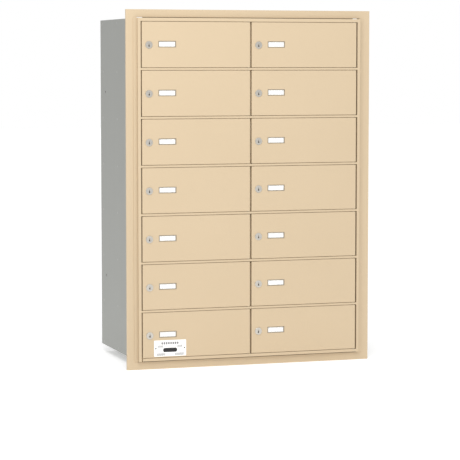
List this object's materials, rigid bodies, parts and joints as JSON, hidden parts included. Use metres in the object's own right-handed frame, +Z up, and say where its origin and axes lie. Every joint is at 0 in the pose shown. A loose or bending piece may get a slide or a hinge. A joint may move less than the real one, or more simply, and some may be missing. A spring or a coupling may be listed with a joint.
{
  "type": "cluster mailbox unit",
  "caption": "Recessed wall mailbox unit with two columns of wide hinged doors, a cam lock and name-card window on each, mitred trim and an open rear for loading.",
  "frame": {"origin": "middle of the unit's width and depth, level with the lowest edge of the trim", "axes": "+X to the right seen from the front, -Y out of the front, +Z up"},
  "size_m": [0.714, 0.4054, 0.9919],
  "materials": {
    "painted_front": "sandstone powder coat, satin",
    "mill_sheet": "mill-finish sheet",
    "fastener": "plain",
    "lock_case": "satin plated",
    "lock_plug": "plated, lightly brushed",
    "label_plate": "white enamel",
    "window": "clear acrylic over a white card"
  },
  "bodies": {
    "cabinet": {"bottom_panel": "mill_sheet", "centre_mullion": "painted_front", "centre_partition": "mill_sheet", "corner_keys": "fastener", "cross_rails": "painted_front", "hinge_rods": "fastener", "rivets": "fastener", "shelves": "mill_sheet", "side_wall_left": "mill_sheet", "side_wall_right": "mill_sheet", "stile_left": "painted_front", "stile_right": "painted_front", "top_panel": "mill_sheet", "trim_bottom": "painted_front", "trim_left": "painted_front", "trim_right": "painted_front", "trim_top": "painted_front"},
    "door_left_1": {"door_left_1": "painted_front", "lock_left_1": "lock_case"},
    "lock_plug_left_1": {"lock_plug_left_1": "lock_plug"},
    "door_left_2": {"door_left_2": "painted_front", "lock_left_2": "lock_case"},
    "lock_plug_left_2": {"lock_plug_left_2": "lock_plug"},
    "door_left_3": {"door_left_3": "painted_front", "lock_left_3": "lock_case"},
    "lock_plug_left_3": {"lock_plug_left_3": "lock_plug"},
    "door_left_4": {"door_left_4": "painted_front", "lock_left_4": "lock_case"},
    "lock_plug_left_4": {"lock_plug_left_4": "lock_plug"},
    "door_left_5": {"door_left_5": "painted_front", "lock_left_5": "lock_case"},
    "lock_plug_left_5": {"lock_plug_left_5": "lock_plug"},
    "door_left_6": {"door_left_6": "painted_front", "lock_left_6": "lock_case"},
    "lock_plug_left_6": {"lock_plug_left_6": "lock_plug"},
    "door_left_7": {"door_left_7": "painted_front", "lock_left_7": "lock_case", "label_plate": "label_plate"},
    "lock_plug_left_7": {"lock_plug_left_7": "lock_plug"},
    "door_right_1": {"door_right_1": "painted_front", "lock_right_1": "lock_case"},
    "lock_plug_right_1": {"lock_plug_right_1": "lock_plug"},
    "door_right_2": {"door_right_2": "painted_front", "lock_right_2": "lock_case"},
    "lock_plug_right_2": {"lock_plug_right_2": "lock_plug"},
    "door_right_3": {"door_right_3": "painted_front", "lock_right_3": "lock_case"},
    "lock_plug_right_3": {"lock_plug_right_3": "lock_plug"},
    "door_right_4": {"door_right_4": "painted_front", "lock_right_4": "lock_case"},
    "lock_plug_right_4": {"lock_plug_right_4": "lock_plug"},
    "door_right_5": {"door_right_5": "painted_front", "lock_right_5": "lock_case"},
    "lock_plug_right_5": {"lock_plug_right_5": "lock_plug"},
    "door_right_6": {"door_right_6": "painted_front", "lock_right_6": "lock_case"},
    "lock_plug_right_6": {"lock_plug_right_6": "lock_plug"},
    "door_right_7": {"door_right_7": "painted_front", "lock_right_7": "lock_case"},
    "lock_plug_right_7": {"lock_plug_right_7": "lock_plug"}
  },
  "joints": [
    {"name": "door_left_1_hinge", "type": "hinge", "parent": "cabinet", "child": "door_left_1", "pos_m": [-0.00637, -0.19525, 0.89602], "axis": [0, 0, 1], "range_deg": [0, 90]},
    {"name": "lock_left_1_turn", "type": "hinge", "parent": "door_left_1", "child": "lock_plug_left_1", "pos_m": [-0.2944, -0.20125, 0.89502], "axis": [0, 1, 0], "range_deg": [0, 90]},
    {"name": "door_left_2_hinge", "type": "hinge", "parent": "cabinet", "child": "door_left_2", "pos_m": [-0.00637, -0.19525, 0.76267], "axis": [0, 0, 1], "range_deg": [0, 90]},
    {"name": "lock_left_2_turn", "type": "hinge", "parent": "door_left_2", "child": "lock_plug_left_2", "pos_m": [-0.2944, -0.20125, 0.76167], "axis": [0, 1, 0], "range_deg": [0, 90]},
    {"name": "door_left_3_hinge", "type": "hinge", "parent": "cabinet", "child": "door_left_3", "pos_m": [-0.00637, -0.19525, 0.62933], "axis": [0, 0, 1], "range_deg": [0, 90]},
    {"name": "lock_left_3_turn", "type": "hinge", "parent": "door_left_3", "child": "lock_plug_left_3", "pos_m": [-0.2944, -0.20125, 0.62833], "axis": [0, 1, 0], "range_deg": [0, 90]},
    {"name": "door_left_4_hinge", "type": "hinge", "parent": "cabinet", "child": "door_left_4", "pos_m": [-0.00637, -0.19525, 0.49597], "axis": [0, 0, 1], "range_deg": [0, 90]},
    {"name": "lock_left_4_turn", "type": "hinge", "parent": "door_left_4", "child": "lock_plug_left_4", "pos_m": [-0.2944, -0.20125, 0.49497], "axis": [0, 1, 0], "range_deg": [0, 90]},
    {"name": "door_left_5_hinge", "type": "hinge", "parent": "cabinet", "child": "door_left_5", "pos_m": [-0.00637, -0.19525, 0.36262], "axis": [0, 0, 1], "range_deg": [0, 90]},
    {"name": "lock_left_5_turn", "type": "hinge", "parent": "door_left_5", "child": "lock_plug_left_5", "pos_m": [-0.2944, -0.20125, 0.36162], "axis": [0, 1, 0], "range_deg": [0, 90]},
    {"name": "door_left_6_hinge", "type": "hinge", "parent": "cabinet", "child": "door_left_6", "pos_m": [-0.00637, -0.19525, 0.22928], "axis": [0, 0, 1], "range_deg": [0, 90]},
    {"name": "lock_left_6_turn", "type": "hinge", "parent": "door_left_6", "child": "lock_plug_left_6", "pos_m": [-0.2944, -0.20125, 0.22828], "axis": [0, 1, 0], "range_deg": [0, 90]},
    {"name": "door_left_7_hinge", "type": "hinge", "parent": "cabinet", "child": "door_left_7", "pos_m": [-0.00637, -0.19525, 0.09592], "axis": [0, 0, 1], "range_deg": [0, 90]},
    {"name": "lock_left_7_turn", "type": "hinge", "parent": "door_left_7", "child": "lock_plug_left_7", "pos_m": [-0.2944, -0.20125, 0.09492], "axis": [0, 1, 0], "range_deg": [0, 90]},
    {"name": "door_right_1_hinge", "type": "hinge", "parent": "cabinet", "child": "door_right_1", "pos_m": [0.31023, -0.19525, 0.89602], "axis": [0, 0, 1], "range_deg": [0, 90]},
    {"name": "lock_right_1_turn", "type": "hinge", "parent": "door_right_1", "child": "lock_plug_right_1", "pos_m": [0.0222, -0.20125, 0.89502], "axis": [0, 1, 0], "range_deg": [0, 90]},
    {"name": "door_right_2_hinge", "type": "hinge", "parent": "cabinet", "child": "door_right_2", "pos_m": [0.31023, -0.19525, 0.76267], "axis": [0, 0, 1], "range_deg": [0, 90]},
    {"name": "lock_right_2_turn", "type": "hinge", "parent": "door_right_2", "child": "lock_plug_right_2", "pos_m": [0.0222, -0.20125, 0.76167], "axis": [0, 1, 0], "range_deg": [0, 90]},
    {"name": "door_right_3_hinge", "type": "hinge", "parent": "cabinet", "child": "door_right_3", "pos_m": [0.31023, -0.19525, 0.62933], "axis": [0, 0, 1], "range_deg": [0, 90]},
    {"name": "lock_right_3_turn", "type": "hinge", "parent": "door_right_3", "child": "lock_plug_right_3", "pos_m": [0.0222, -0.20125, 0.62833], "axis": [0, 1, 0], "range_deg": [0, 90]},
    {"name": "door_right_4_hinge", "type": "hinge", "parent": "cabinet", "child": "door_right_4", "pos_m": [0.31023, -0.19525, 0.49597], "axis": [0, 0, 1], "range_deg": [0, 90]},
    {"name": "lock_right_4_turn", "type": "hinge", "parent": "door_right_4", "child": "lock_plug_right_4", "pos_m": [0.0222, -0.20125, 0.49497], "axis": [0, 1, 0], "range_deg": [0, 90]},
    {"name": "door_right_5_hinge", "type": "hinge", "parent": "cabinet", "child": "door_right_5", "pos_m": [0.31023, -0.19525, 0.36262], "axis": [0, 0, 1], "range_deg": [0, 90]},
    {"name": "lock_right_5_turn", "type": "hinge", "parent": "door_right_5", "child": "lock_plug_right_5", "pos_m": [0.0222, -0.20125, 0.36162], "axis": [0, 1, 0], "range_deg": [0, 90]},
    {"name": "door_right_6_hinge", "type": "hinge", "parent": "cabinet", "child": "door_right_6", "pos_m": [0.31023, -0.19525, 0.22928], "axis": [0, 0, 1], "range_deg": [0, 90]},
    {"name": "lock_right_6_turn", "type": "hinge", "parent": "door_right_6", "child": "lock_plug_right_6", "pos_m": [0.0222, -0.20125, 0.22828], "axis": [0, 1, 0], "range_deg": [0, 90]},
    {"name": "door_right_7_hinge", "type": "hinge", "parent": "cabinet", "child": "door_right_7", "pos_m": [0.31023, -0.19525, 0.09592], "axis": [0, 0, 1], "range_deg": [0, 90]},
    {"name": "lock_right_7_turn", "type": "hinge", "parent": "door_right_7", "child": "lock_plug_right_7", "pos_m": [0.0222, -0.20125, 0.09492], "axis": [0, 1, 0], "range_deg": [0, 90]}
  ]
}
